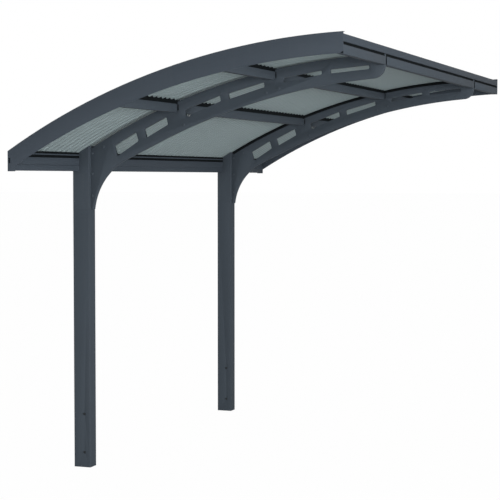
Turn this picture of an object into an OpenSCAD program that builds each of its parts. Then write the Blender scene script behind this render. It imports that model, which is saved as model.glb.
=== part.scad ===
// Cantilever carport: two posts along the low back eave, each with an arched rib
// reaching forward to the high open eave, three lines of purlins, a gutter and
// corrugated polycarbonate sheets. X runs along the length, the open side faces -Y,
// and the origin is at the middle of the left post's foot.

/* [Overall] */
// Length of the roof over both fascias
roof_length = 5000; // [4000:10:6000]
// Depth of the roof from the high eave's face to the gutter's back
roof_depth = 2390; // [1900:10:2900]
// Distance between the post centres
post_spacing = 2940; // [2300:10:3600]
// Height of the sheets' underside at the crown of the arch
crown_height = 3024; // [2500:1:3650]
// Radius of the sheets' underside
arch_radius = 4700; // [4200:10:5650]
// How far the crown line lies in front of the high eave
crown_ahead = 80; // [0:5:200]

/* [Posts] */
// Width of a post along the roof
post_width = 100; // [80:1:115]
// Depth of a post across the roof
post_depth = 132; // [110:1:156]
// Wall of a post
post_wall = 3; // [2:0.5:4]
// Drop from the gutter's underside to the joint of post and head
head_drop = 283; // [240:1:345]
// Length of the splice below the joint
splice_below = 160; // [100:5:200]
// Length of the splice above the joint
splice_above = 200; // [150:5:240]
// Wall of the splice
splice_wall = 4; // [3:0.5:6]

/* [Feet] */
// Height of a foot bracket's cheeks
foot_height = 440; // [360:5:530]
// Thickness of a foot bracket's plates
foot_plate = 8; // [5:1:10]
// Height of the lower foot screw
foot_screw_low = 112; // [90:1:135]
// Height of the upper foot screw
foot_screw_high = 400; // [330:1:420]
// How far the foot screws lie ahead of the post's middle
foot_screw_ahead = 20; // [0:1:35]
// Diameter of a foot screw's shank
foot_screw_d = 8; // [6:1:10]
// Diameter of an anchor hole
anchor_d = 14; // [10:1:16]
// Anchor spacing along the roof
anchor_x = 40; // [30:1:48]
// Anchor spacing across the roof
anchor_y = 80; // [60:1:90]

/* [Ribs] */
// Thickness of a rib
rib_thickness = 30; // [20:1:40]
// Gap between a rib's top and the sheets at the crown
rib_crown_gap = 4; // [3:1:10]
// Gap between a rib's top and the sheets at the post
rib_post_gap = 20; // [10:1:30]
// How far the undersides' own crown line lies in front of the high eave
under_ahead = 240; // [80:5:300]
// Depth of a rib's underside below the sheets' crown on its own crown line
rib_crown_depth = 160; // [150:1:190]
// Depth that a rib's underside would reach below the sheets at the post without its haunch
rib_post_depth = 288; // [285:1:345]
// Setback of a rib's front edge from the high eave's face
rib_setback = 6; // [4:1:12]
// Radius of a rib's nose
nose_radius = 90; // [60:1:90]
// Radius of the haunch below a rib
haunch_radius = 460; // [380:5:550]
// How far the haunch stands off the post at its toe
haunch_toe = 18; // [10:1:30]
// Drop of the haunch's centre below the head joint
haunch_drop = 50; // [0:1:60]
// Length along the roof from the post to where the haunch leaves the underside
haunch_reach = 549; // [480:1:650]

/* [Rib cleats] */
// Width of a cleat's legs
cleat_leg = 30; // [24:1:32]
// Thickness of a cleat
cleat_wall = 4; // [3:0.5:6]
// Height of a cleat's foot above the joint of post and head
cleat_rise = 70; // [60:1:100]
// Gap between a cleat's top and the rib's top
cleat_gap = 10; // [4:1:60]

/* [Rib slots] */
// Depth of the slots' upper edge below the sheets at the crown
web_crown_depth = 75; // [65:1:90]
// Depth that the slots' upper edge would reach below the sheets at the post
web_post_depth = 110; // [92:1:130]
// Height of the slots at the crown
slot_crown_depth = 27; // [22:1:32]
// Height that the slots would reach at the post
slot_post_depth = 92; // [75:1:110]
// Radius of a slot's corners
slot_corner = 10; // [4:1:10]
// Width of the strap between two slots
strap_width = 60; // [40:1:80]
// Solid web between a slot and a purlin
purlin_web = 48; // [30:1:60]
// Solid web between a slot and the post
post_web = 200; // [160:1:240]
// Solid web between a slot and the rib's nose
nose_web = 118; // [100:1:150]
// Lean of the slots' ends, from upright at 0 to square with the arch at 1
slot_lean = 0.65; // [0:0.05:1]

/* [Purlins] */
// Height of a purlin's box
purlin_height = 58; // [45:1:66]
// Width of a purlin's box
purlin_width = 46; // [36:1:56]
// Wall of a purlin
purlin_wall = 2; // [1.5:0.5:3]
// Least height of the neck between a purlin's box and the sheets
neck_height = 20; // [18:1:26]
// Setback of the neck behind the purlin's face
neck_setback = 12; // [8:1:16]
// Width of the neck
neck_width = 18; // [12:1:22]
// Gap between the end of an upper or lower purlin and a rib
purlin_gap = 32; // [20:1:40]
// Gap between the end of an eave purlin and a rib
eave_gap = 4; // [2:1:32]
// How far a spigot reaches into a purlin
spigot_reach = 80; // [60:5:120]
// Width of a spigot
spigot_width = 30; // [24:1:32]
// Clearance of a spigot in a purlin
spigot_play = 0.5; // [0.3:0.1:1]
// Wall of a spigot
spigot_wall = 3; // [2:0.5:4]

/* [Gutter] */
// Depth of the gutter across the roof
gutter_depth = 52; // [44:1:62]
// Height of the gutter's face from its underside to its lip
gutter_height = 123; // [105:1:145]
// Wall of the gutter
gutter_wall = 2.5; // [2:0.5:4]
// Least height of the seal that stands on the gutter's lip
seal_height = 7; // [3:0.5:10]
// Height of the lip
lip_height = 9; // [6:1:12]
// Height of the groove below the lip
groove_height = 19; // [14:1:24]
// Depth of the groove below the lip
groove_depth = 9; // [6:1:12]
// Thickness of the seal on the lip
seal_width = 14; // [8:1:18]
// Setback of the sheets' lower ends from the gutter's back
sheet_setback = 24; // [18:1:30]

/* [High eave cover] */
// Height of the cover's face
cover_face = 48; // [42:1:58]
// Depth of the cover's top
cover_depth = 62; // [50:1:75]
// Height of the cover above the crown
cover_rise = 46; // [38:1:52]
// Thickness of the cover
cover_wall = 3; // [2:0.5:4]

/* [Fascias] */
// How far the fascias' own crown line lies in front of the high eave
fascia_ahead = 160; // [80:5:200]
// Height of a fascia's top above the sheets' crown
fascia_rise = 63; // [52:1:70]
// Height of a fascia's top above the sheets at the gutter's back
fascia_low_rise = 25; // [24:1:45]
// Upright depth of a fascia
fascia_drop = 137; // [120:1:160]
// Thickness of a fascia's web and flanges
fascia_wall = 3; // [2:0.5:3]
// Width of a fascia's flanges
fascia_flange = 28; // [20:1:40]
// Width of the tab over the gutter's end
tab_width = 58; // [50:1:70]
// How far the tab hangs below the gutter
tab_drop = 5; // [3:1:10]
// Radius of a fascia's front lower corner
fascia_corner = 30; // [15:1:40]
// Width of the slot in the tab
tab_slot_width = 10; // [6:1:14]
// Height of the slot in the tab
tab_slot_height = 34; // [24:1:44]
// Distance of the tab's slot from the gutter's back
slot_inset = 19; // [16:1:30]
// Height of the tab's slot above the gutter's underside
slot_rise = 51; // [40:1:60]

/* [Sheets] */
// Pitch of the corrugations, as near as fits
corrugation_pitch = 76; // [60:1:95]
// Height of the corrugations
corrugation_height = 16; // [10:1:20]
// Thickness of a sheet
sheet_thickness = 1.5; // [1:0.1:2.5]
// Gap between a sheet and a fascia's web
sheet_end_gap = 4; // [2:1:8]

/* [Hidden] */
$fn = 96;
ARC_FN = 720;

FRAME_GREY = [0.27, 0.29, 0.33];
STEEL_GREY = [0.6, 0.62, 0.64];
SMOKE_GREY = [0.55, 0.6, 0.6, 0.6];
RUBBER_BLACK = [0.1, 0.1, 0.11];
SLACK = 1;
// How far the haunch's tangent runs into its arc, so that they cross cleanly
HAUNCH_BITE = 0.1;
PIECE_PLAY = 0.5;
SHEET_COUNT = 4;

back_y = post_depth / 2;
eave_y = back_y - roof_depth;
post_front = -post_depth / 2;
crown_y = eave_y - crown_ahead;
fascia_crown_y = eave_y - fascia_ahead;
under_crown_y = eave_y - under_ahead;
overhang = (roof_length - post_spacing) / 2;
left_x = -overhang;
right_x = left_x + roof_length;

// Arcs in the roof's cross section have their crowns on one line, apart from the fascias' tops
// and the ribs' undersides
function arc_z(y, r, top, crown = crown_y) = top - r + sqrt(r * r - pow(y - crown, 2));
function arc_lean(y, r) = (y - crown_y) / sqrt(r * r - pow(y - crown_y, 2));
function roof_z(y) = arc_z(y, arch_radius, crown_height);

// Radius of an arc that lies crown_depth below the sheets' crown and end_depth below them at end_y
function radius_below(crown_depth, end_depth, end_y, crown = crown_y) =
    let (run = end_y - crown, fall = crown_height - crown_depth - roof_z(end_y) + end_depth)
    (run * run + fall * fall) / (2 * fall);

slot_low_depth = web_crown_depth + slot_crown_depth;
rib_top_radius = radius_below(rib_crown_gap, rib_post_gap, post_front);
rib_under_radius = radius_below(rib_crown_depth, rib_post_depth, post_front, under_crown_y);
slot_top_radius = radius_below(web_crown_depth, web_post_depth, post_front);
slot_low_radius = radius_below(slot_low_depth, web_post_depth + slot_post_depth, post_front);
fascia_radius = radius_below(-fascia_rise, -fascia_low_rise, back_y, fascia_crown_y);

function rib_top_z(y) = arc_z(y, rib_top_radius, crown_height - rib_crown_gap);
function under_z(y) = arc_z(y, rib_under_radius, crown_height - rib_crown_depth, under_crown_y);
function slot_top_z(y) = arc_z(y, slot_top_radius, crown_height - web_crown_depth);
function slot_low_z(y) = arc_z(y, slot_low_radius, crown_height - slot_low_depth);

gutter_front = back_y - gutter_depth;
lip_top = roof_z(gutter_front + gutter_wall + seal_width) - seal_height;
gutter_low = lip_top - gutter_height;
joint_z = gutter_low - head_drop;
cover_top = crown_height + cover_rise;
cover_low = cover_top - cover_face;
fascia_top = crown_height + fascia_rise;

// Front faces of the purlin lines, a third of the roof's depth apart
purlin_ys = [eave_y, eave_y + roof_depth / 3, eave_y + 2 * roof_depth / 3 - purlin_width];

haunch_y = post_front - haunch_toe - haunch_radius;
haunch_z = joint_z - haunch_drop;
haunch_start = [post_front - haunch_reach, under_z(post_front - haunch_reach)];
haunch_line = haunch_start - [haunch_y, haunch_z];
haunch_turn = atan2(haunch_line[1], haunch_line[0]) - acos(haunch_radius / norm(haunch_line));
haunch_grip = haunch_radius - HAUNCH_BITE;
haunch_tangent = [haunch_y, haunch_z] + haunch_grip * [cos(haunch_turn), sin(haunch_turn)];

// Shapes drawn in the roof's cross section, with Y to the right and Z up
module along_roof(x0, x1) {
    translate([x0, 0, 0])
        rotate([90, 0, 90])
            linear_extrude(x1 - x0) children();
}

module arc_disc(r, top, crown = crown_y) {
    translate([crown, top - r]) circle(r, $fn = ARC_FN);
}

module span(y0, y1, z0, z1) {
    translate([y0, z0]) square([y1 - y0, z1 - z0]);
}

module rounded_quad(corners, r) {
    polygon(corners);
    for (i = [0 : 3]) {
        a = corners[i];
        b = corners[(i + 1) % 4];
        out = r * [b[1] - a[1], a[0] - b[0]] / norm(b - a);
        polygon([a, a + out, b + out, b]);
        translate(a) circle(r);
    }
}

function slot_point(y, mid_z, z) = [y + (z - mid_z) * slot_lean * arc_lean(y, arch_radius), z];

module rib_slot(y0, y1) {
    r = slot_corner;
    mid0 = (slot_top_z(y0) + slot_low_z(y0)) / 2;
    mid1 = (slot_top_z(y1) + slot_low_z(y1)) / 2;
    rounded_quad([
        slot_point(y0 + r, mid0, slot_low_z(y0) + r),
        slot_point(y1 - r, mid1, slot_low_z(y1) + r),
        slot_point(y1 - r, mid1, slot_top_z(y1) - r),
        slot_point(y0 + r, mid0, slot_top_z(y0) - r)
    ], r);
}

module bay_slots(y0, y1) {
    strap_y = (y0 + y1) / 2;
    rib_slot(y0, strap_y - strap_width / 2);
    rib_slot(strap_y + strap_width / 2, y1);
}

module rib_outline() {
    front = eave_y + rib_setback;
    nose_z = under_z(front + nose_radius);
    difference() {
        intersection() {
            arc_disc(rib_top_radius, crown_height - rib_crown_gap);
            union() {
                difference() {
                    span(front, haunch_start[0] + SLACK, joint_z, crown_height);
                    arc_disc(rib_under_radius, crown_height - rib_crown_depth, under_crown_y);
                    span(front - SLACK, front + nose_radius, joint_z, nose_z + nose_radius);
                }
                intersection() {
                    translate([front + nose_radius, nose_z + nose_radius]) circle(nose_radius);
                    span(front, front + nose_radius, nose_z, nose_z + nose_radius);
                }
                difference() {
                    polygon([
                        haunch_start, haunch_tangent, [haunch_tangent[0], joint_z],
                        [post_front, joint_z], [post_front, crown_height],
                        [haunch_start[0], crown_height]
                    ]);
                    translate([haunch_y, haunch_z]) circle(haunch_radius, $fn = 256);
                }
            }
        }
        span(front - SLACK, eave_y + neck_setback, cover_low, crown_height + SLACK);
        bay_slots(eave_y + nose_web, purlin_ys[1] - purlin_web);
        bay_slots(purlin_ys[1] + purlin_width + purlin_web, purlin_ys[2] - purlin_web);
        bay_slots(purlin_ys[2] + purlin_width + purlin_web, post_front - post_web);
    }
}

function box_top(y) = min(roof_z(y), roof_z(y + purlin_width)) - neck_height;
function box_low(y) = box_top(y) - purlin_height;

module purlin_outline(y) {
    difference() {
        union() {
            span(y, y + purlin_width, box_low(y), box_top(y));
            intersection() {
                arc_disc(arch_radius, crown_height);
                span(y + neck_setback, y + neck_setback + neck_width, box_top(y), crown_height);
            }
        }
        span(y + purlin_wall, y + purlin_width - purlin_wall,
             box_low(y) + purlin_wall, box_top(y) - purlin_wall);
    }
}

module spigot_outline(y, inset) {
    in = purlin_wall + spigot_play + inset;
    span(y + purlin_width - in - spigot_width + 2 * inset, y + purlin_width - in,
         box_low(y) + in, box_top(y) - in);
}

function post_x(side) = side * post_spacing;
function rib_near(side) = post_x(side) - rib_thickness / 2;
function rib_far(side) = post_x(side) + rib_thickness / 2;

module rib(side) {
    color(FRAME_GREY)
        difference() {
            along_roof(rib_near(side), rib_far(side)) rib_outline();
            for (y = purlin_ys)
                along_roof(rib_near(side) - SLACK, rib_far(side) + SLACK) spigot_outline(y, 0);
        }
}

// Angle that fastens a rib's back end to the front of its head, on the rib's right face
module cleat(side) {
    x = rib_far(side);
    color(STEEL_GREY)
        translate([0, 0, joint_z + cleat_rise])
            linear_extrude(rib_top_z(post_front) - cleat_gap - joint_z - cleat_rise)
                polygon([
                    [x, post_front], [x, post_front - cleat_leg],
                    [x + cleat_wall, post_front - cleat_leg],
                    [x + cleat_wall, post_front - cleat_wall],
                    [x + cleat_leg, post_front - cleat_wall], [x + cleat_leg, post_front]
                ]);
}

// Bays: 0 left of the left rib, 1 between the ribs, 2 right of the right rib
function line_gap(line) = line == 0 ? eave_gap : purlin_gap;
function bay_start(line, bay) = bay == 0 ? left_x + fascia_wall : rib_far(bay - 1) + line_gap(line);
function bay_end(line, bay) = bay == 2 ? right_x - fascia_wall : rib_near(bay) - line_gap(line);

module purlin(line, bay) {
    color(FRAME_GREY)
        along_roof(bay_start(line, bay), bay_end(line, bay)) purlin_outline(purlin_ys[line]);
}

module spigot(line, side) {
    y = purlin_ys[line];
    reach = line_gap(line) + spigot_reach;
    color(STEEL_GREY)
        difference() {
            along_roof(rib_near(side) - reach, rib_far(side) + reach) spigot_outline(y, 0);
            along_roof(rib_near(side) - reach - SLACK, rib_far(side) + reach + SLACK)
                spigot_outline(y, spigot_wall);
        }
}

module upright_box(w, d, z0, z1) {
    translate([-w / 2, -d / 2, z0]) cube([w, d, z1 - z0]);
}

module foot_screw_holes(side) {
    for (z = [foot_screw_low, foot_screw_high])
        translate([post_x(side), -foot_screw_ahead, z])
            rotate([0, 90, 0]) cylinder(d = foot_screw_d, h = post_width + 2 * SLACK, center = true);
}

module foot(side) {
    w = post_width - 2 * post_wall - 2 * PIECE_PLAY;
    d = post_depth - 2 * post_wall - 2 * PIECE_PLAY;
    color(STEEL_GREY)
        difference() {
            translate([post_x(side), 0, 0])
                difference() {
                    upright_box(w, d, 0, foot_height);
                    upright_box(w - 2 * foot_plate, d + 2 * SLACK, foot_plate, foot_height + SLACK);
                    for (x = [-anchor_x / 2, anchor_x / 2], y = [-anchor_y / 2, anchor_y / 2])
                        translate([x, y, -SLACK]) cylinder(d = anchor_d, h = foot_plate + 2 * SLACK);
                }
            foot_screw_holes(side);
        }
}

module post(side) {
    color(FRAME_GREY)
        difference() {
            translate([post_x(side), 0, 0])
                difference() {
                    upright_box(post_width, post_depth, 0, joint_z);
                    upright_box(post_width - 2 * post_wall, post_depth - 2 * post_wall,
                                -SLACK, joint_z + SLACK);
                }
            foot_screw_holes(side);
        }
}

module splice(side) {
    w = post_width - 2 * post_wall - 2 * PIECE_PLAY;
    d = post_depth - 2 * post_wall - 2 * PIECE_PLAY;
    color(STEEL_GREY)
        translate([post_x(side), 0, 0])
            difference() {
                upright_box(w, d, joint_z - splice_below, joint_z + splice_above);
                upright_box(w - 2 * splice_wall, d - 2 * splice_wall,
                            joint_z - splice_below - SLACK, joint_z + splice_above + SLACK);
            }
}

module head(side) {
    color(FRAME_GREY)
        intersection() {
            translate([post_x(side), 0, 0])
                difference() {
                    upright_box(post_width, post_depth, joint_z, crown_height);
                    upright_box(post_width - 2 * post_wall, post_depth - 2 * post_wall,
                                joint_z - SLACK, crown_height + SLACK);
                    translate([-post_width, gutter_front, gutter_low])
                        cube([2 * post_width, post_depth, crown_height]);
                }
            along_roof(post_x(side) - post_width, post_x(side) + post_width)
                arc_disc(arch_radius, crown_height);
        }
}

module gutter() {
    face_top = lip_top - lip_height - groove_height;
    in = gutter_wall;
    y0 = gutter_front;
    y1 = back_y;
    color(FRAME_GREY)
        along_roof(left_x + fascia_wall, right_x - fascia_wall)
            polygon([
                [y0, gutter_low], [y1, gutter_low], [y1, lip_top], [y1 - in, lip_top],
                [y1 - in, gutter_low + in], [y0 + in, gutter_low + in], [y0 + in, face_top - in],
                [y0 + groove_depth + in, face_top - in],
                [y0 + groove_depth + in, lip_top - lip_height],
                [y0 + seal_width + in, lip_top - lip_height], [y0 + seal_width + in, lip_top],
                [y0, lip_top], [y0, lip_top - lip_height], [y0 + groove_depth, lip_top - lip_height],
                [y0 + groove_depth, face_top], [y0, face_top]
            ]);
}

module gutter_seal() {
    y0 = gutter_front + gutter_wall;
    y1 = y0 + seal_width;
    color(RUBBER_BLACK)
        along_roof(left_x + fascia_wall, right_x - fascia_wall)
            polygon([[y0, lip_top], [y1, lip_top], [y1, roof_z(y1)], [y0, roof_z(y0)]]);
}

module eave_cover() {
    face_in = eave_y + cover_wall;
    lip_in = eave_y + neck_setback;
    color(FRAME_GREY)
        along_roof(left_x + fascia_wall, right_x - fascia_wall)
            polygon([
                [eave_y, cover_low], [lip_in, cover_low], [lip_in, cover_low + cover_wall],
                [face_in, cover_low + cover_wall], [face_in, cover_top - cover_wall],
                [eave_y + cover_depth, cover_top - cover_wall],
                [eave_y + cover_depth, cover_top], [eave_y, cover_top]
            ]);
}

module fascia_outline() {
    low_top = fascia_top - fascia_drop;
    corner_y = eave_y + fascia_corner;
    corner_z = arc_z(corner_y, fascia_radius, low_top, fascia_crown_y) + fascia_corner;
    intersection() {
        arc_disc(fascia_radius, fascia_top, fascia_crown_y);
        union() {
            difference() {
                span(eave_y, back_y, gutter_low, fascia_top);
                arc_disc(fascia_radius, low_top, fascia_crown_y);
                span(eave_y - SLACK, corner_y, gutter_low, corner_z);
            }
            intersection() {
                translate([corner_y, corner_z]) circle(fascia_corner);
                span(eave_y, corner_y, corner_z - fascia_corner, corner_z);
            }
            span(back_y - tab_width, back_y, gutter_low - tab_drop, lip_top);
        }
    }
}

module fascia_top_flange() {
    difference() {
        intersection() {
            arc_disc(fascia_radius, fascia_top, fascia_crown_y);
            span(eave_y, back_y, lip_top, fascia_top);
        }
        arc_disc(fascia_radius, fascia_top - fascia_wall, fascia_crown_y);
    }
}

// side is 0 for the left end and 1 for the right end
module fascia(side) {
    outer = side == 0 ? left_x : right_x - fascia_wall;
    flange = side == 0 ? left_x : right_x - fascia_flange;
    color(FRAME_GREY)
        union() {
            along_roof(outer, outer + fascia_wall)
                difference() {
                    fascia_outline();
                    translate([back_y - slot_inset, gutter_low + slot_rise])
                        square([tab_slot_width, tab_slot_height]);
                }
            along_roof(flange, flange + fascia_flange) fascia_top_flange();
        }
}

// Sheets: trapezoid corrugations running along the arch
sheet_run = (roof_length - 2 * fascia_wall - 2 * sheet_end_gap) / SHEET_COUNT;
waves = round(sheet_run / corrugation_pitch);
wave = sheet_run / waves;

function wave_line(x0, lift) = [
    for (i = [0 : waves - 1], p = [[0, 1], [0.17, 1], [0.33, 0], [0.67, 0], [0.83, 1]])
        [arch_radius + p[1] * corrugation_height + lift, x0 + (i + p[0]) * wave]
];

module sheet(index) {
    x0 = left_x + fascia_wall + sheet_end_gap + index * sheet_run;
    top = arch_radius + corrugation_height;
    low = concat(wave_line(x0, 0), [[top, x0 + sheet_run - PIECE_PLAY]]);
    high = concat(wave_line(x0, sheet_thickness), [[top + sheet_thickness, x0 + sheet_run - PIECE_PLAY]]);
    back_angle = acos((back_y - sheet_setback - crown_y) / arch_radius);
    front_angle = acos((eave_y + neck_setback + PIECE_PLAY - crown_y) / arch_radius);
    color(SMOKE_GREY)
        translate([0, crown_y, crown_height - arch_radius])
            rotate([90, 0, 90])
                rotate([0, 0, back_angle])
                    rotate_extrude(angle = front_angle - back_angle, $fn = ARC_FN)
                        polygon(concat(low, [for (i = [len(high) - 1 : -1 : 0]) high[i]]));
}

foot(0);  // left_foot
foot(1);  // right_foot
post(0);  // left_post
post(1);  // right_post
splice(0);  // left_splice
splice(1);  // right_splice
head(0);  // left_head
head(1);  // right_head
rib(0);  // left_rib
rib(1);  // right_rib
cleat(0);  // left_cleat
cleat(1);  // right_cleat
purlin(0, 0);  // eave_purlin_left
purlin(0, 1);  // eave_purlin_middle
purlin(0, 2);  // eave_purlin_right
purlin(1, 0);  // upper_purlin_left
purlin(1, 1);  // upper_purlin_middle
purlin(1, 2);  // upper_purlin_right
purlin(2, 0);  // lower_purlin_left
purlin(2, 1);  // lower_purlin_middle
purlin(2, 2);  // lower_purlin_right
spigot(0, 0);  // eave_spigot_left
spigot(0, 1);  // eave_spigot_right
spigot(1, 0);  // upper_spigot_left
spigot(1, 1);  // upper_spigot_right
spigot(2, 0);  // lower_spigot_left
spigot(2, 1);  // lower_spigot_right
gutter();
gutter_seal();
eave_cover();
fascia(0);  // left_fascia
fascia(1);  // right_fascia
sheet(0);  // sheet_1
sheet(1);  // sheet_2
sheet(2);  // sheet_3
sheet(3);  // sheet_4
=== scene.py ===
# Cantilever carport of powder-coated aluminium under smoke-tinted corrugated sheets.
# It is dressed in the order in which it is put up: feet, posts, ribs, purlins, gutter,
# edge trims, sheets and their screws. All sizes are in metres.
import math

import bpy
from mathutils import Matrix, Vector


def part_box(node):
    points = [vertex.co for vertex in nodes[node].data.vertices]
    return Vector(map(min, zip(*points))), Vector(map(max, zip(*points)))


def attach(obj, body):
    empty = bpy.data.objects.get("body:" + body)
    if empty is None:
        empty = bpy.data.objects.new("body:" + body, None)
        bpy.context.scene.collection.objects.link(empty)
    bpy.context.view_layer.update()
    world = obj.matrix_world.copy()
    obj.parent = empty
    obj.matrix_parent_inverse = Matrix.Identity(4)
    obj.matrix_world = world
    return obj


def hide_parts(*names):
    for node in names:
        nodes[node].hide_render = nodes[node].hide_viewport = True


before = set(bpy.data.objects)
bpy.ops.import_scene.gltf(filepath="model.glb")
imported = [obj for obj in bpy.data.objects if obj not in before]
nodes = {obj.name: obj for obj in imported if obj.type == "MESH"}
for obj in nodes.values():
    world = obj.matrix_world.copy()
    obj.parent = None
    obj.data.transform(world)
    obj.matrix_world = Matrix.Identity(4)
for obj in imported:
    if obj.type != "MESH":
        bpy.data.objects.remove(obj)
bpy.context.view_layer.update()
bpy.ops.object.select_all(action="DESELECT")


# Feet and splices: U brackets and sleeves of hot-dip galvanised steel plate, hidden in the
# posts. The zinc freezes in spangles a few millimetres wide and dulls to a matt grey.
def wire(tree, kind, output=0, settings=None, **inputs):
    """Adds a shader node, sets or links its sockets by name or number, and gives back an output."""
    made = tree.nodes.new("ShaderNode" + kind)
    for name, value in (settings or {}).items():
        setattr(made, name, value)
    for name, value in inputs.items():
        socket = made.inputs[int(name[1:])] if name[0] == "_" else made.inputs[name.replace("_", " ")]
        if isinstance(value, bpy.types.NodeSocket):
            tree.links.new(value, socket)
        else:
            socket.default_value = value
    return made.outputs[output]


def blend_colour(tree, share, first, second):
    """Mixes two colours or colour outputs by a mask, with the Mix node's colour sockets."""
    return wire(tree, "Mix", 2, {"data_type": "RGBA"}, _0=share, _6=first, _7=second)


def surface_group(name, inputs, outputs):
    """An empty shader group with number sockets, and its input and output ends."""
    group = bpy.data.node_groups.new(name, "ShaderNodeTree")
    for label, value in inputs.items():
        socket = group.interface.new_socket(label, in_out="INPUT", socket_type="NodeSocketFloat")
        socket.default_value = value
    for label in outputs:
        group.interface.new_socket(label, in_out="OUTPUT", socket_type="NodeSocketFloat")
    return group, group.nodes.new("NodeGroupInput").outputs, group.nodes.new("NodeGroupOutput").inputs


# The group: slow clouds of tone, a fine grain, dust that lies on what faces up, and rain runs.
weather, given, result = surface_group(
    "weather", {"Cloud Scale": 2.0, "Grain Scale": 600.0, "Dust": 0.3}, ("Clouds", "Grain", "Dust", "Runs"))
spot = wire(weather, "TexCoord", "Object")
clouds = wire(weather, "TexNoise", Vector=spot, Scale=given["Cloud Scale"], Detail=5.0, Roughness=0.6)
grain = wire(weather, "TexNoise", Vector=spot, Scale=given["Grain Scale"], Detail=2.0)
facing_up = wire(weather, "SeparateXYZ", "Z", Vector=wire(weather, "NewGeometry", "Normal"))
flatness = wire(weather, "MapRange", Value=facing_up, From_Min=0.4, From_Max=0.95)
patches = wire(weather, "TexNoise", Vector=spot, Scale=14.0, Detail=6.0)
settled = wire(weather, "MapRange", Value=patches, From_Min=0.35, From_Max=0.7)
lying = wire(weather, "Math", settings={"operation": "MULTIPLY"}, _0=flatness, _1=settled)
dust = wire(weather, "Math", settings={"operation": "MULTIPLY"}, _0=lying, _1=given["Dust"])
stretched = wire(weather, "Mapping", Vector=spot, Scale=(30.0, 30.0, 1.5))
rain = wire(weather, "TexNoise", Vector=stretched, Scale=1.0, Detail=3.0)
runs = wire(weather, "MapRange", Value=rain, From_Min=0.55, From_Max=0.8)
for label, source in {"Clouds": clouds, "Grain": grain, "Dust": dust, "Runs": runs}.items():
    weather.links.new(source, result[label])
DUST_COLOUR = (0.30, 0.29, 0.27, 1)
ROUGH_DRIFT = 0.07


def weathered(name, dark, pale, rough, cloud_scale, grain_scale, relief, dust_amount, run_amount, **plain):
    """A material that drifts from a dark to a pale tone, with grain, rain runs and settled dust."""
    material = bpy.data.materials.new(name)
    material.use_nodes = True
    tree = material.node_tree
    shader = tree.nodes["Principled BSDF"]
    for socket, value in plain.items():
        shader.inputs[socket.replace("_", " ")].default_value = value
    skin = tree.nodes.new("ShaderNodeGroup")
    skin.node_tree = weather
    skin.inputs["Cloud Scale"].default_value = cloud_scale
    skin.inputs["Grain Scale"].default_value = grain_scale
    skin.inputs["Dust"].default_value = dust_amount
    tone = blend_colour(tree, skin.outputs["Clouds"], (*dark, 1), (*pale, 1))
    streak = wire(tree, "MapRange", Value=skin.outputs["Runs"], To_Max=run_amount)
    rained = blend_colour(tree, streak, tone, DUST_COLOUR)
    dusty = blend_colour(tree, skin.outputs["Dust"], rained, DUST_COLOUR)
    tree.links.new(dusty, shader.inputs["Base Color"])
    gloss = wire(tree, "MapRange", Value=skin.outputs["Clouds"], To_Min=rough - ROUGH_DRIFT,
                 To_Max=rough + ROUGH_DRIFT)
    matt = wire(tree, "Math", settings={"operation": "ADD"}, _0=gloss, _1=skin.outputs["Dust"])
    tree.links.new(matt, shader.inputs["Roughness"])
    bumped = wire(tree, "Bump", Height=skin.outputs["Grain"], Strength=0.6, Distance=relief)
    tree.links.new(bumped, shader.inputs["Normal"])
    return material


SPANGLE_SIZE = 0.007
SPANGLE_CONTRAST = 0.45
SPANGLE_COLOUR = (0.66, 0.68, 0.70, 1)


def add_spangle(material):
    """Lays frozen zinc spangles over a material's colour."""
    tree = material.node_tree
    shader = tree.nodes["Principled BSDF"]
    under = shader.inputs["Base Color"].links[0].from_socket
    spot = wire(tree, "TexCoord", "Object")
    cells = wire(tree, "TexVoronoi", "Color", Vector=spot, Scale=1 / SPANGLE_SIZE)
    tone = wire(tree, "SeparateXYZ", "X", Vector=cells)
    share = wire(tree, "MapRange", Value=tone, To_Max=SPANGLE_CONTRAST)
    tree.links.new(blend_colour(tree, share, under, SPANGLE_COLOUR), shader.inputs["Base Color"])


def dress(name, material):
    """Gives a CAD node its material."""
    nodes[name].data.materials.clear()
    nodes[name].data.materials.append(material)


zinc = weathered("zinc", dark=(0.30, 0.31, 0.32), pale=(0.42, 0.43, 0.44), rough=0.42, cloud_scale=6.0,
                 grain_scale=900.0, relief=0.00005, dust_amount=0.25, run_amount=0.1, Metallic=0.85)
add_spangle(zinc)
for side in ("left", "right"):
    dress(side + "_foot", zinc)
    dress(side + "_splice", zinc)


# Posts and heads: extruded rectangular aluminium tubes with rounded corners, the head
# stacked on the post over the splice. Cut square, eased and powder coated slate grey.
WELD = 0.00003
FLAT_ANGLE = math.radians(0.2)
EDGE_ANGLE = math.radians(30)
EASE_SEGMENTS = 2
TUBE_CORNER = 0.003
TUBE_EASE = 0.0012
LONG_EDGE = 0.05
NEAR = 0.001


def select_only(piece):
    """Makes a piece the only selected and the active one."""
    bpy.ops.object.select_all(action="DESELECT")
    piece.select_set(True)
    bpy.context.view_layer.objects.active = piece


def edit_all(piece):
    """Opens a piece in edit mode with all of it selected."""
    select_only(piece)
    bpy.ops.object.mode_set(mode="EDIT")
    bpy.ops.mesh.select_all(action="SELECT")


def edit_edges(piece, wanted):
    """Opens a piece in edit mode with the edges selected whose two ends pass a test."""
    edit_all(piece)
    bpy.ops.mesh.select_mode(type="EDGE")
    bpy.ops.mesh.select_all(action="DESELECT")
    bpy.ops.object.mode_set(mode="OBJECT")
    points = piece.data.vertices
    for edge in piece.data.edges:
        edge.select = wanted(*(points[i].co for i in edge.vertices))
    bpy.ops.object.mode_set(mode="EDIT")


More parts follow.
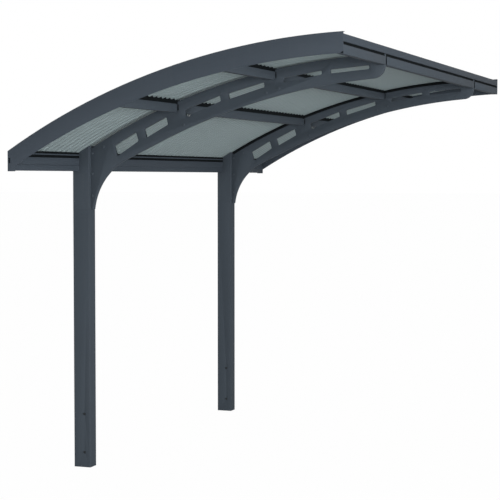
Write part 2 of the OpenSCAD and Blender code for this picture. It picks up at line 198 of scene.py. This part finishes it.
def edit_points(piece, wanted):
    """Opens a piece in edit mode with the points selected that pass a test."""
    edit_all(piece)
    bpy.ops.mesh.select_mode(type="VERT")
    bpy.ops.mesh.select_all(action="DESELECT")
    bpy.ops.object.mode_set(mode="OBJECT")
    for point in piece.data.vertices:
        point.select = wanted(point.co)
    bpy.ops.object.mode_set(mode="EDIT")


def finished_copy(name, materials):
    """A new piece that stands for a CAD node, its loose triangles merged into clean faces."""
    piece = bpy.data.objects.new(name + "_finished", nodes[name].data.copy())
    bpy.context.scene.collection.objects.link(piece)
    edit_all(piece)
    bpy.ops.mesh.remove_doubles(threshold=WELD)
    bpy.ops.mesh.delete_loose(use_faces=False)
    bpy.ops.mesh.customdata_custom_splitnormals_clear()
    bpy.ops.mesh.select_all(action="SELECT")
    bpy.ops.mesh.dissolve_limited(angle_limit=FLAT_ANGLE)
    bpy.ops.object.mode_set(mode="OBJECT")
    place_piece(piece, materials)
    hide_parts(name)
    return piece


def place_piece(piece, materials):
    """Gives a piece its materials and lets it ride on the frame."""
    piece.data.materials.clear()
    for material in materials:
        piece.data.materials.append(material)
    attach(piece, "root")


def apply_modifier(piece, kind, **settings):
    """Adds a modifier with its settings and applies it at once."""
    select_only(piece)
    modifier = piece.modifiers.new(kind, kind)
    for name, value in settings.items():
        setattr(modifier, name, value)
    bpy.ops.object.modifier_apply(modifier=kind)


def ease_edges(piece, width):
    """Breaks a piece's sharp edges, which take its last material, on coated pieces a paler copy of the coat
    that paints a highlight along them, and drops stray faces.
    """
    apply_modifier(piece, "BEVEL", width=width, segments=EASE_SEGMENTS, limit_method="ANGLE",
                   angle_limit=EDGE_ANGLE, material=len(piece.data.materials) - 1)
    edit_all(piece)
    bpy.ops.mesh.remove_doubles(threshold=WELD)
    bpy.ops.mesh.select_mode(type="EDGE")
    bpy.ops.mesh.select_all(action="DESELECT")
    bpy.ops.mesh.select_non_manifold(use_wire=False, use_multi_face=False, use_non_contiguous=False,
                                     use_verts=False)
    bpy.ops.mesh.delete(type="EDGE")
    bpy.ops.object.mode_set(mode="OBJECT")
    bpy.ops.object.shade_smooth_by_angle(angle=EDGE_ANGLE)


def at_corner(point, low, high):
    """Whether a point lies on one of the upright corner lines of a box."""
    return (min(abs(point.x - low.x), abs(point.x - high.x)) < NEAR
            and min(abs(point.y - low.y), abs(point.y - high.y)) < NEAR)


# Painted light: the frame coat is the trim coat's slate made about a tenth lighter, to make up for the shade
# that the roof casts on the posts, heads, ribs and purlins.
frame_coat = weathered("frame_coat", dark=(0.044, 0.055, 0.067), pale=(0.051, 0.063, 0.077), rough=0.55,
                       cloud_scale=1.6, grain_scale=700.0, relief=0.00008, dust_amount=0.2, run_amount=0.012,
                       Specular_IOR_Level=0.05)
# Painted highlight: this paler, glossier copy of the frame coat is laid on the bevels of eased edges; the
# coated bolts and sheet screws wear it too.
frame_edge_highlight = weathered("frame_edge_highlight", dark=(0.044, 0.055, 0.067), pale=(0.060, 0.073, 0.088), rough=0.46,
                       cloud_scale=9.0, grain_scale=700.0, relief=0.00005, dust_amount=0.15,
                       run_amount=0.012, Specular_IOR_Level=0.05)
FRAME_COATS = (frame_coat, frame_edge_highlight)
for side in ("left", "right"):
    low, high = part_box(side + "_post")
    for part in ("_post", "_head"):
        tube = finished_copy(side + part, FRAME_COATS)
        edit_edges(tube, lambda a, b: abs(a.z - b.z) > LONG_EDGE and at_corner(a, low, high)
                   and at_corner(b, low, high))
        bpy.ops.mesh.bevel(offset=TUBE_CORNER, segments=4)
        bpy.ops.object.mode_set(mode="OBJECT")
        ease_edges(tube, TUBE_EASE)


# Foot screws: black zinc-plated pan-head screws with wide washers, two on each wide face
# of a post, driven through the tube into the cheeks of the foot.
STEEP_ANGLE = math.radians(40)
WASHER_FACTOR = 3
FACE_LEFT = -90
FACE_RIGHT = 90
FOOT_SCREW_HEIGHTS = (0.112, 0.400)
FOOT_SCREW_AHEAD = 0.020


def screw_head(name, washer_d, washer_t, head_d, head_h, sides, ease):
    """A head on its washer, standing on z = 0 at the origin and facing +Z."""
    bpy.ops.mesh.primitive_cylinder_add(vertices=sides * WASHER_FACTOR, radius=washer_d / 2, depth=washer_t,
                                        location=(0, 0, washer_t / 2))
    washer = bpy.context.object
    bpy.ops.mesh.primitive_cylinder_add(vertices=sides, radius=head_d / 2, depth=head_h,
                                        location=(0, 0, washer_t + head_h / 2))
    head = bpy.context.object
    washer.select_set(True)
    bpy.ops.object.join()
    head.name = name
    bpy.ops.object.transform_apply(location=True, rotation=True, scale=True)
    apply_modifier(head, "BEVEL", width=ease, segments=1, limit_method="ANGLE", angle_limit=STEEP_ANGLE)
    bpy.ops.object.shade_smooth_by_angle(angle=EDGE_ANGLE)
    return head


def copies(master, name, places):
    """Sets a copy of a piece, with its own mesh, at each place and joins them into one piece."""
    made = []
    for place in places:
        copy = bpy.data.objects.new(name, master.data.copy())
        bpy.context.scene.collection.objects.link(copy)
        copy.data.transform(place)
        made.append(copy)
    select_only(made[0])
    for copy in made:
        copy.select_set(True)
    bpy.ops.object.join()
    return made[0]


def facing(x, y, z, turn):
    """A place at x, y, z for a head that faces +Z, turned about Y in degrees."""
    return Matrix.Translation((x, y, z)) @ Matrix.Rotation(math.radians(turn), 4, "Y")


# Black zinc for the foot screws, also laid on the purlins' spigots as painted shade.
black_zinc_and_painted_shade = weathered("black_zinc_and_painted_shade", dark=(0.014, 0.017, 0.020), pale=(0.022, 0.026, 0.030), rough=0.5,
                       cloud_scale=4.0, grain_scale=700.0, relief=0.00004, dust_amount=0.1, run_amount=0.0,
                       Specular_IOR_Level=0.2)
foot_screw = screw_head("foot_screw", washer_d=0.020, washer_t=0.0016, head_d=0.014, head_h=0.005, sides=12,
                        ease=0.0007)
for side in ("left", "right"):
    low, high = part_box(side + "_post")
    screw_y = (low.y + high.y) / 2 - FOOT_SCREW_AHEAD
    spots = [facing(x, screw_y, z, turn) for z in FOOT_SCREW_HEIGHTS
             for x, turn in ((low.x, FACE_LEFT), (high.x, FACE_RIGHT))]
    place_piece(copies(foot_screw, side + "_foot_screws", spots), (black_zinc_and_painted_shade,))
bpy.data.objects.remove(foot_screw)


# Ribs: flat aluminium castings with long slots, the slots' rims and the outline rounded
# over. Each is bolted to its head through an angle cleat and to the purlins' spigots.
RIB_EASE = 0.0022
CLEAT_THICKNESS = 0.004
CLEAT_BOLT_Y = -0.080
CLEAT_BOLT_HEIGHTS = (2.031, 2.195, 2.345)
RIB_BOLTS = ((-0.816, 2.551), (-1.451, 2.770), (-1.545, 2.800), (-0.174, 2.394), (-1.104, 2.777))
BARE_BOLT = (-0.855, 2.616)
stainless = weathered("stainless", dark=(0.12, 0.13, 0.14), pale=(0.19, 0.20, 0.21), rough=0.4,
                      cloud_scale=20.0, grain_scale=1500.0, relief=0.00003, dust_amount=0.2, run_amount=0.0,
                      Metallic=0.9)
bolt_head = screw_head("bolt_head", washer_d=0.020, washer_t=0.0018, head_d=0.015, head_h=0.006, sides=6,
                       ease=0.0008)
for side in ("left", "right"):
    rib = finished_copy(side + "_rib", FRAME_COATS)
    ease_edges(rib, RIB_EASE)
    dress(side + "_cleat", zinc)
    near_face, far_face = (corner.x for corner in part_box(side + "_rib"))
    cleat_face = far_face + CLEAT_THICKNESS
    spots = [facing(near_face, y, z, FACE_LEFT) for y, z in RIB_BOLTS]
    spots += [facing(far_face, y, z, FACE_RIGHT) for y, z in RIB_BOLTS]
    for z in CLEAT_BOLT_HEIGHTS:
        spots.append(facing(near_face, CLEAT_BOLT_Y, z, FACE_LEFT))
        spots.append(facing(cleat_face, CLEAT_BOLT_Y, z, FACE_RIGHT))
    place_piece(copies(bolt_head, side + "_rib_bolts", spots), (frame_edge_highlight,))
    spots = [facing(near_face, *BARE_BOLT, FACE_LEFT), facing(far_face, *BARE_BOLT, FACE_RIGHT)]
    place_piece(copies(bolt_head, side + "_bare_bolts", spots), (stainless,))
bpy.data.objects.remove(bolt_head)


# Purlins: extruded box sections that run between ribs and fascias on tubes through the ribs. A black rubber
# closure on each fills the sheets' waves and keeps wind and birds out; its black also paints the shade in
# the purlin's recessed neck.
ROOF_RADIUS = 4.7
CROWN_Y = -2.404
CROWN_Z = 3.024
WAVE_HEIGHT = 0.016
SHEET_WAVES = 16
SHEET_COUNT = 4
WAVE_FLATS = ((0.05, 0.15, 1.7), (0.25, 0.35, 1.1))
CREST_ROUND = 0.004
HAIR = 0.0001
NECK_SETBACK = 0.012
NECK_WIDTH = 0.018
NECK_HEIGHT = 0.020
PURLIN_EASE = 0.0006
CLOSURE_PLAY = 0.0006
CLOSURE_PROUD = 0.001
CLOSURE_DROP = 0.03
SHADE_BLOCK_INSET = 0.0015
SHADE_BLOCK_RISE = 0.016
SHADE_BLOCK_EASE = 0.002
LEAST_GAP = 0.01
FIT = 0.0005
BAYS = ("left", "middle", "right")
LINES = ("eave", "upper", "lower")
first_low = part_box("sheet_1")[0]
wave = (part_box("sheet_2")[0].x - first_low.x) / SHEET_WAVES


def sheet_height(y):
    """Height of the sheets' underside, in the valleys of the waves."""
    return CROWN_Z - ROOF_RADIUS + math.sqrt(ROOF_RADIUS ** 2 - (y - CROWN_Y) ** 2)


def wave_line(name, start_x, waves):
    """A chain of edges along X that follows the waves, with the valleys on z = 0."""
    bpy.ops.mesh.primitive_grid_add(x_subdivisions=5, y_subdivisions=1, size=wave,
                                    location=(start_x + wave / 2, 0, 0))
    line = bpy.context.object
    line.name = name
    bpy.ops.object.transform_apply(location=True, rotation=True, scale=True)
    middle = Vector((start_x + wave / 2, 0, 0))
    for near, far, spread in WAVE_FLATS:
        edit_points(line, lambda p: near * wave < abs(p.x - middle.x) < far * wave)
        bpy.ops.transform.resize(value=(spread, 1, 1), center_override=middle)
        bpy.ops.object.mode_set(mode="OBJECT")
    edit_points(line, lambda p: abs(p.x - middle.x) > 0.25 * wave)
    bpy.ops.transform.translate(value=(0, 0, WAVE_HEIGHT))
    bpy.ops.object.mode_set(mode="OBJECT")
    edit_edges(line, lambda a, b: abs(a.x - b.x) < NEAR and abs(a.x - middle.x) < 0.45 * wave)
    bpy.ops.mesh.bevel(offset=CREST_ROUND, segments=2)
    bpy.ops.object.mode_set(mode="OBJECT")
    apply_modifier(line, "ARRAY", count=waves, use_relative_offset=False, use_constant_offset=True,
                   constant_offset_displace=(wave, 0, 0), use_merge_vertices=True, merge_threshold=HAIR)
    edit_points(line, lambda p: p.y > 0)
    bpy.ops.mesh.delete(type="VERT")
    bpy.ops.object.mode_set(mode="OBJECT")
    line.data.transform(Matrix.Translation((0, wave / 2, 0)))
    return line


def closure(name, start_x, end_x, front, back):
    """A rubber strip from the box of a purlin up into the waves of the sheets."""
    strip = wave_line(name, first_low.x, SHEET_COUNT * SHEET_WAVES)
    top = sheet_height(front) - CLOSURE_PLAY
    seat = sheet_height(back) - NECK_HEIGHT
    fall = sheet_height(front) - sheet_height(back)
    strip.data.transform(Matrix.Translation((0, front, top)))
    edit_all(strip)
    bpy.ops.mesh.extrude_region_move(TRANSFORM_OT_translate={"value": (0, 0, -CLOSURE_DROP)})
    bpy.ops.transform.resize(value=(1, 1, 0), center_override=(0, front, seat))
    bpy.ops.mesh.select_all(action="SELECT")
    bpy.ops.mesh.extrude_region_move(TRANSFORM_OT_translate={"value": (0, back - front, -fall)})
    bpy.ops.object.mode_set(mode="OBJECT")
    edit_points(strip, lambda p: p.z < seat + HAIR)
    bpy.ops.transform.resize(value=(1, 1, 0), center_override=(0, front, seat))
    for cut_x, side in ((start_x, -1), (end_x, 1)):
        bpy.ops.mesh.select_all(action="SELECT")
        bpy.ops.mesh.bisect(plane_co=(cut_x, 0, 0), plane_no=(side, 0, 0), use_fill=True, clear_outer=True)
    bpy.ops.mesh.select_all(action="SELECT")
    bpy.ops.mesh.normals_make_consistent(inside=False)
    bpy.ops.object.mode_set(mode="OBJECT")
    bpy.ops.object.shade_smooth_by_angle(angle=EDGE_ANGLE)
    place_piece(strip, (rubber,))


def shade_block(name, low, high):
    """A plain black block between two corners with its edges eased: painted shade in the gap between a
    purlin's end and a rib.
    """
    bpy.ops.mesh.primitive_cube_add(size=1, location=(low + high) / 2)
    block = bpy.context.object
    block.name = name
    block.scale = high - low
    bpy.ops.object.transform_apply(location=True, rotation=True, scale=True)
    place_piece(block, (rubber,))
    ease_edges(block, SHADE_BLOCK_EASE)


rubber = weathered("rubber", dark=(0.003, 0.004, 0.005), pale=(0.006, 0.008, 0.009), rough=0.8,
                   cloud_scale=5.0, grain_scale=1200.0, relief=0.0001, dust_amount=0.1, run_amount=0.0,
                   Specular_IOR_Level=0.05)
rib_faces = [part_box(side + "_rib")[end].x for side in ("left", "right") for end in (0, 1)]
for line in LINES:
    for number, bay in enumerate(BAYS):
        name = f"{line}_purlin_{bay}"
        box = finished_copy(name, FRAME_COATS)
        ease_edges(box, PURLIN_EASE)
        low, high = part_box(name)
        neck_front = low.y + NECK_SETBACK
        start_x = low.x if number == 0 else rib_faces[2 * number - 1]
        end_x = high.x if number == 2 else rib_faces[2 * number]
        closure(f"{line}_closure_{bay}", start_x + FIT, end_x - FIT, neck_front - CLOSURE_PROUD,
                neck_front + NECK_WIDTH + CLOSURE_PROUD)
        # Painted shade: black blocks fill the gaps between the purlins' ends and the ribs, where shade
        # falls.
        shade_block_top = min(sheet_height(low.y), sheet_height(high.y)) - NECK_HEIGHT - FIT
        for place, (near_x, far_x) in {"start": (start_x, low.x), "end": (high.x, end_x)}.items():
            if far_x - near_x > LEAST_GAP:
                shade_block(f"{line}_spacer_{bay}_{place}",
                       Vector((near_x + FIT, low.y + SHADE_BLOCK_INSET, low.z + SHADE_BLOCK_RISE)),
                       Vector((far_x - FIT, high.y - SHADE_BLOCK_INSET, shade_block_top)))
# Painted shade: the spigots are dressed in the black zinc of the foot screws, so that the gaps between the
# purlins' ends and the ribs read dark.
for line in LINES:
    for side in ("left", "right"):
        dress(f"{line}_spigot_{side}", black_zinc_and_painted_shade)


# Painted shade: a thick strip of black rubber over the top edge of the right rib only, which fills the gap
# to the sheets and stands in for the dark band of shade along that rib's top. It bends with the arch.
SHADE_STRIP_WIDTH = 0.033
SHADE_STRIP_DEPTH = 0.024
SHADE_STRIP_BACK = -0.070
SHADE_STRIP_FRONT = -2.305
SHADE_STRIP_STEPS = 40
FINE_WELD = 0.00001


def arc_turn(y):
    """How far round the roof's arc the place over y is, counted back from the crown."""
    return math.asin((y - CROWN_Y) / ROOF_RADIUS)


def on_arc(x, y, lift):
    """A place on the roof's arc over x and y, lifted off the sheets' valleys and tilted with them."""
    return (Matrix.Translation((x, CROWN_Y, CROWN_Z - ROOF_RADIUS)) @ Matrix.Rotation(-arc_turn(y), 4, "X")
            @ Matrix.Translation((0, 0, ROOF_RADIUS + lift)))


def sweep(piece, back_y, front_y, steps):
    """Draws the outline of a piece along the roof's arc, from its back end to its front."""
    edit_all(piece)
    bpy.ops.mesh.spin(steps=steps, angle=arc_turn(back_y) - arc_turn(front_y), axis=(-1, 0, 0),
                      center=(0, CROWN_Y, CROWN_Z - ROOF_RADIUS))
    bpy.ops.mesh.select_all(action="SELECT")
    bpy.ops.mesh.remove_doubles(threshold=FINE_WELD)
    bpy.ops.mesh.normals_make_consistent(inside=False)
    bpy.ops.object.mode_set(mode="OBJECT")


rib_low, rib_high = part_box("right_rib")
bpy.ops.mesh.primitive_plane_add(size=1, location=(0, 0, 0))
shade_strip = bpy.context.object
shade_strip.name = "right_rib_shade_strip"
shade_strip.scale = (SHADE_STRIP_WIDTH, SHADE_STRIP_DEPTH, 1)
bpy.ops.object.transform_apply(location=True, rotation=True, scale=True)
shade_strip.data.transform(on_arc((rib_low.x + rib_high.x) / 2, SHADE_STRIP_BACK, -CLOSURE_PLAY - SHADE_STRIP_DEPTH / 2)
                      @ Matrix.Rotation(math.radians(90), 4, "X"))
sweep(shade_strip, SHADE_STRIP_BACK, SHADE_STRIP_FRONT, SHADE_STRIP_STEPS)
bpy.ops.object.shade_smooth_by_angle(angle=EDGE_ANGLE)
place_piece(shade_strip, (rubber,))


# Gutter: a deep aluminium channel hooked behind the heads, with a groove below its lip. A black rubber strip
# in the groove paints the shade there, and a flat seal on the lip closes it to the sheets.
REVEAL_HEIGHTS = (0.040, 0.046)
REVEAL_DEPTH = 0.002
FRONT_FACING = -0.9
GUTTER_EASE = 0.0005
LIP_HEIGHT = 0.009
GROOVE_HEIGHT = 0.019
GROOVE_DEPTH = 0.009
GROOVE_SHADE_SETBACK = 0.004
GROOVE_SHADE_PLAY = 0.0004
GROOVE_SHADE_ROUND = 0.003


def edit_faces(piece, wanted):
    """Opens a piece in edit mode with the faces selected that pass a test."""
    edit_all(piece)
    bpy.ops.mesh.select_mode(type="FACE")
    bpy.ops.mesh.select_all(action="DESELECT")
    bpy.ops.object.mode_set(mode="OBJECT")
    for face in piece.data.polygons:
        face.select = wanted(face)
    bpy.ops.object.mode_set(mode="EDIT")


trim_coat = weathered("trim_coat", dark=(0.040, 0.050, 0.062), pale=(0.046, 0.057, 0.071), rough=0.5,
                      cloud_scale=1.6, grain_scale=700.0, relief=0.00008, dust_amount=0.2,
                      run_amount=0.012, Specular_IOR_Level=0.05)
# Painted highlight: this paler, glossier copy of the trim coat is laid on the bevels of eased edges.
trim_edge_highlight = weathered("trim_edge_highlight", dark=(0.040, 0.050, 0.062), pale=(0.055, 0.068, 0.083), rough=0.44,
                      cloud_scale=9.0, grain_scale=700.0, relief=0.00005, dust_amount=0.15,
                      run_amount=0.012, Specular_IOR_Level=0.05)
TRIM_COATS = (trim_coat, trim_edge_highlight)
gutter = finished_copy("gutter", TRIM_COATS)
low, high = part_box("gutter")
for height in REVEAL_HEIGHTS:
    edit_all(gutter)
    bpy.ops.mesh.bisect(plane_co=(0, 0, low.z + height), plane_no=(0, 0, 1))
    bpy.ops.object.mode_set(mode="OBJECT")
edit_faces(gutter, lambda face: face.normal.y < FRONT_FACING and face.center.y < low.y + FIT
           and REVEAL_HEIGHTS[0] < face.center.z - low.z < REVEAL_HEIGHTS[1])
bpy.ops.mesh.extrude_region_move(TRANSFORM_OT_translate={"value": (0, REVEAL_DEPTH, 0)})
bpy.ops.object.mode_set(mode="OBJECT")
ease_edges(gutter, GUTTER_EASE)
dress("gutter_seal", rubber)
# Painted shade: a black strip set into the groove so that it reads dark.
groove_shade_depth = GROOVE_DEPTH - GROOVE_SHADE_SETBACK
groove_shade_y = low.y + GROOVE_DEPTH - groove_shade_depth / 2
groove_shade_z = high.z - LIP_HEIGHT - GROOVE_HEIGHT / 2
bpy.ops.mesh.primitive_cube_add(size=1, location=((low.x + high.x) / 2, groove_shade_y, groove_shade_z))
groove_shade = bpy.context.object
groove_shade.name = "gutter_groove_shade"
groove_shade.scale = (high.x - low.x, groove_shade_depth, GROOVE_HEIGHT - GROOVE_SHADE_PLAY)
bpy.ops.object.transform_apply(location=True, rotation=True, scale=True)
edit_edges(groove_shade, lambda a, b: abs(a.x - b.x) > 1 and a.y < low.y + GROOVE_DEPTH - NEAR)
bpy.ops.mesh.bevel(offset=GROOVE_SHADE_ROUND, segments=4)
bpy.ops.object.mode_set(mode="OBJECT")
bpy.ops.object.shade_smooth_by_angle(angle=EDGE_ANGLE)
place_piece(groove_shade, (rubber,))


# Edge trims: a folded cover over the sheets' high edge and an arched fascia at each end,
# pressed from aluminium sheet, coated like the frame and screwed to the purlins' ends.
TRIM_EASE = 0.0010
cover = finished_copy("eave_cover", TRIM_COATS)
ease_edges(cover, TRIM_EASE)
for side in ("left", "right"):
    fascia = finished_copy(side + "_fascia", TRIM_COATS)
    ease_edges(fascia, TRIM_EASE)
    back_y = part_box(side + "_fascia")[1].y
    edit_points(fascia, lambda p: p.y > back_y)
    bpy.ops.transform.resize(value=(1, 0, 1), center_override=(0, back_y, 0))
    bpy.ops.object.mode_set(mode="OBJECT")


# Sheets: four corrugated sheets of smoke-tinted polycarbonate, 1.5 mm thick, bent over the
# purlins. They are extruded in long waves and lie side by side on the closures.
SHEET_THICKNESS = 0.0015
SHEET_STEPS = 36
DRAWN_SCALE = (90.0, 0.4, 0.4)
LEAST_OPACITY = 0.84
MOST_OPACITY = 0.90


def smoke_tint(name):
    """Tinted polycarbonate: clear enough for the sky to show, with faint drawn lines."""
    material = weathered(name, dark=(0.216, 0.267, 0.276), pale=(0.240, 0.295, 0.304), rough=0.4,
                         cloud_scale=1.2, grain_scale=350.0, relief=0.00003, dust_amount=0.3,
                         run_amount=0.0, Specular_IOR_Level=0.3)
    tree = material.node_tree
    shader = tree.nodes["Principled BSDF"]
    drawn = wire(tree, "Mapping", Vector=wire(tree, "TexCoord", "Object"), Scale=DRAWN_SCALE)
    lines = wire(tree, "TexNoise", Vector=drawn, Scale=1.0, Detail=3.0)
    opacity = wire(tree, "MapRange", Value=lines, To_Min=LEAST_OPACITY, To_Max=MOST_OPACITY)
    tree.links.new(opacity, shader.inputs["Alpha"])
    return material


smoke = smoke_tint("smoke_tint")
for number in range(1, SHEET_COUNT + 1):
    name = f"sheet_{number}"
    low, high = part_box(name)
    sheet = wave_line(name + "_finished", low.x, SHEET_WAVES)
    sheet.data.transform(on_arc(0, high.y, 0))
    sweep(sheet, high.y, low.y, SHEET_STEPS)
    upward = sum(face.normal.z * face.area for face in sheet.data.polygons)
    if upward < 0:
        edit_all(sheet)
        bpy.ops.mesh.flip_normals()
        bpy.ops.object.mode_set(mode="OBJECT")
    apply_modifier(sheet, "SOLIDIFY", thickness=SHEET_THICKNESS, offset=1)
    bpy.ops.object.shade_smooth_by_angle(angle=STEEP_ANGLE)
    place_piece(sheet, (smoke,))
    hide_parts(name)


# Sheet screws: coated hexagon heads on flat washers, through every second crest into the
# upper and lower purlins and the gutter's lip.
SEAL_SCREW_SETBACK = 0.007
sheet_screw = screw_head("sheet_screw", washer_d=0.022, washer_t=0.0025, head_d=0.010, head_h=0.005, sides=6,
                         ease=0.001)
spots = []
for y in (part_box("upper_purlin_left")[0].y + NECK_SETBACK + NECK_WIDTH / 2,
          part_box("lower_purlin_left")[0].y + NECK_SETBACK + NECK_WIDTH / 2,
          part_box("gutter_seal")[0].y + SEAL_SCREW_SETBACK):
    for crest in range(2, SHEET_COUNT * SHEET_WAVES, 2):
        spots.append(on_arc(first_low.x + crest * wave, y, WAVE_HEIGHT + SHEET_THICKNESS))
screws = copies(sheet_screw, "sheet_screws", spots)
place_piece(screws, (frame_edge_highlight,))
bpy.data.objects.remove(sheet_screw)


# Studio: a plain white floor and sky, and two broad soft lamps low on the side of the
# viewer, so that the light reaches under the roof.
WHITE = (1, 1, 1, 1)
FLOOR_SIZE = 400
FLOOR_GREY = (0.72, 0.72, 0.72, 1)
FLOOR_GLOW = 0.985
SKY_ON_PIECES = 0.5
SKY_SEEN = 1.0
LAMP_SIZE = 6
LAMP_TARGET = (1.5, -1, 2.2)
LAMPS = (((-14, -4, 1.5), 1200), ((-5, -14, 1), 2200))
CAMERA_PLACE = (-10.208, -5.085, 2.165)
CAMERA_LENS = 109.3
CAMERA_YAW = math.radians(20.243)
CAMERA_PITCH = math.radians(2.723)


def soft_lamp(place, power):
    """A square area lamp that looks at the middle of the carport."""
    bpy.ops.object.light_add(type="AREA", location=place)
    lamp = bpy.context.object
    lamp.data.size = LAMP_SIZE
    lamp.data.energy = power
    lamp.rotation_euler = (Vector(LAMP_TARGET) - Vector(place)).to_track_quat("-Z", "Y").to_euler()


bpy.ops.mesh.primitive_plane_add(size=FLOOR_SIZE)
floor = bpy.context.object
floor.name = "floor"
paving = bpy.data.materials.new("studio_floor")
paving.use_nodes = True
tree = paving.node_tree
paint = tree.nodes["Principled BSDF"]
paint.inputs["Base Color"].default_value = FLOOR_GREY
paint.inputs["Roughness"].default_value = 0.9
glow = wire(tree, "Emission", Color=WHITE, Strength=1.0)
viewed = wire(tree, "LightPath", "Is Camera Ray")
share = wire(tree, "Math", settings={"operation": "MULTIPLY"}, _0=viewed, _1=FLOOR_GLOW)
seen = wire(tree, "MixShader", Fac=share, _1=paint.outputs["BSDF"], _2=glow)
tree.links.new(seen, tree.nodes["Material Output"].inputs["Surface"])
floor.data.materials.append(paving)

sky = bpy.data.worlds.new("sky")
bpy.context.scene.world = sky
sky.use_nodes = True
tree = sky.node_tree
ray = tree.nodes.new("ShaderNodeLightPath")
direct = wire(tree, "Math", settings={"operation": "MAXIMUM"}, _0=ray.outputs["Is Camera Ray"],
              _1=ray.outputs["Is Transmission Ray"])
strength = wire(tree, "MapRange", Value=direct, To_Min=SKY_ON_PIECES, To_Max=SKY_SEEN)
tree.links.new(strength, tree.nodes["Background"].inputs["Strength"])
tree.nodes["Background"].inputs["Color"].default_value = WHITE

for place, power in LAMPS:
    soft_lamp(place, power)

bpy.ops.object.camera_add(location=CAMERA_PLACE)
camera = bpy.context.object
camera.data.lens = CAMERA_LENS
camera.data.sensor_width = 36
camera.data.clip_end = 1000
look = Vector((math.cos(CAMERA_YAW) * math.cos(CAMERA_PITCH),
               math.sin(CAMERA_YAW) * math.cos(CAMERA_PITCH), -math.sin(CAMERA_PITCH)))
camera.rotation_euler = look.to_track_quat("-Z", "Y").to_euler()
bpy.context.scene.camera = camera
bpy.context.scene.view_settings.view_transform = "Standard"
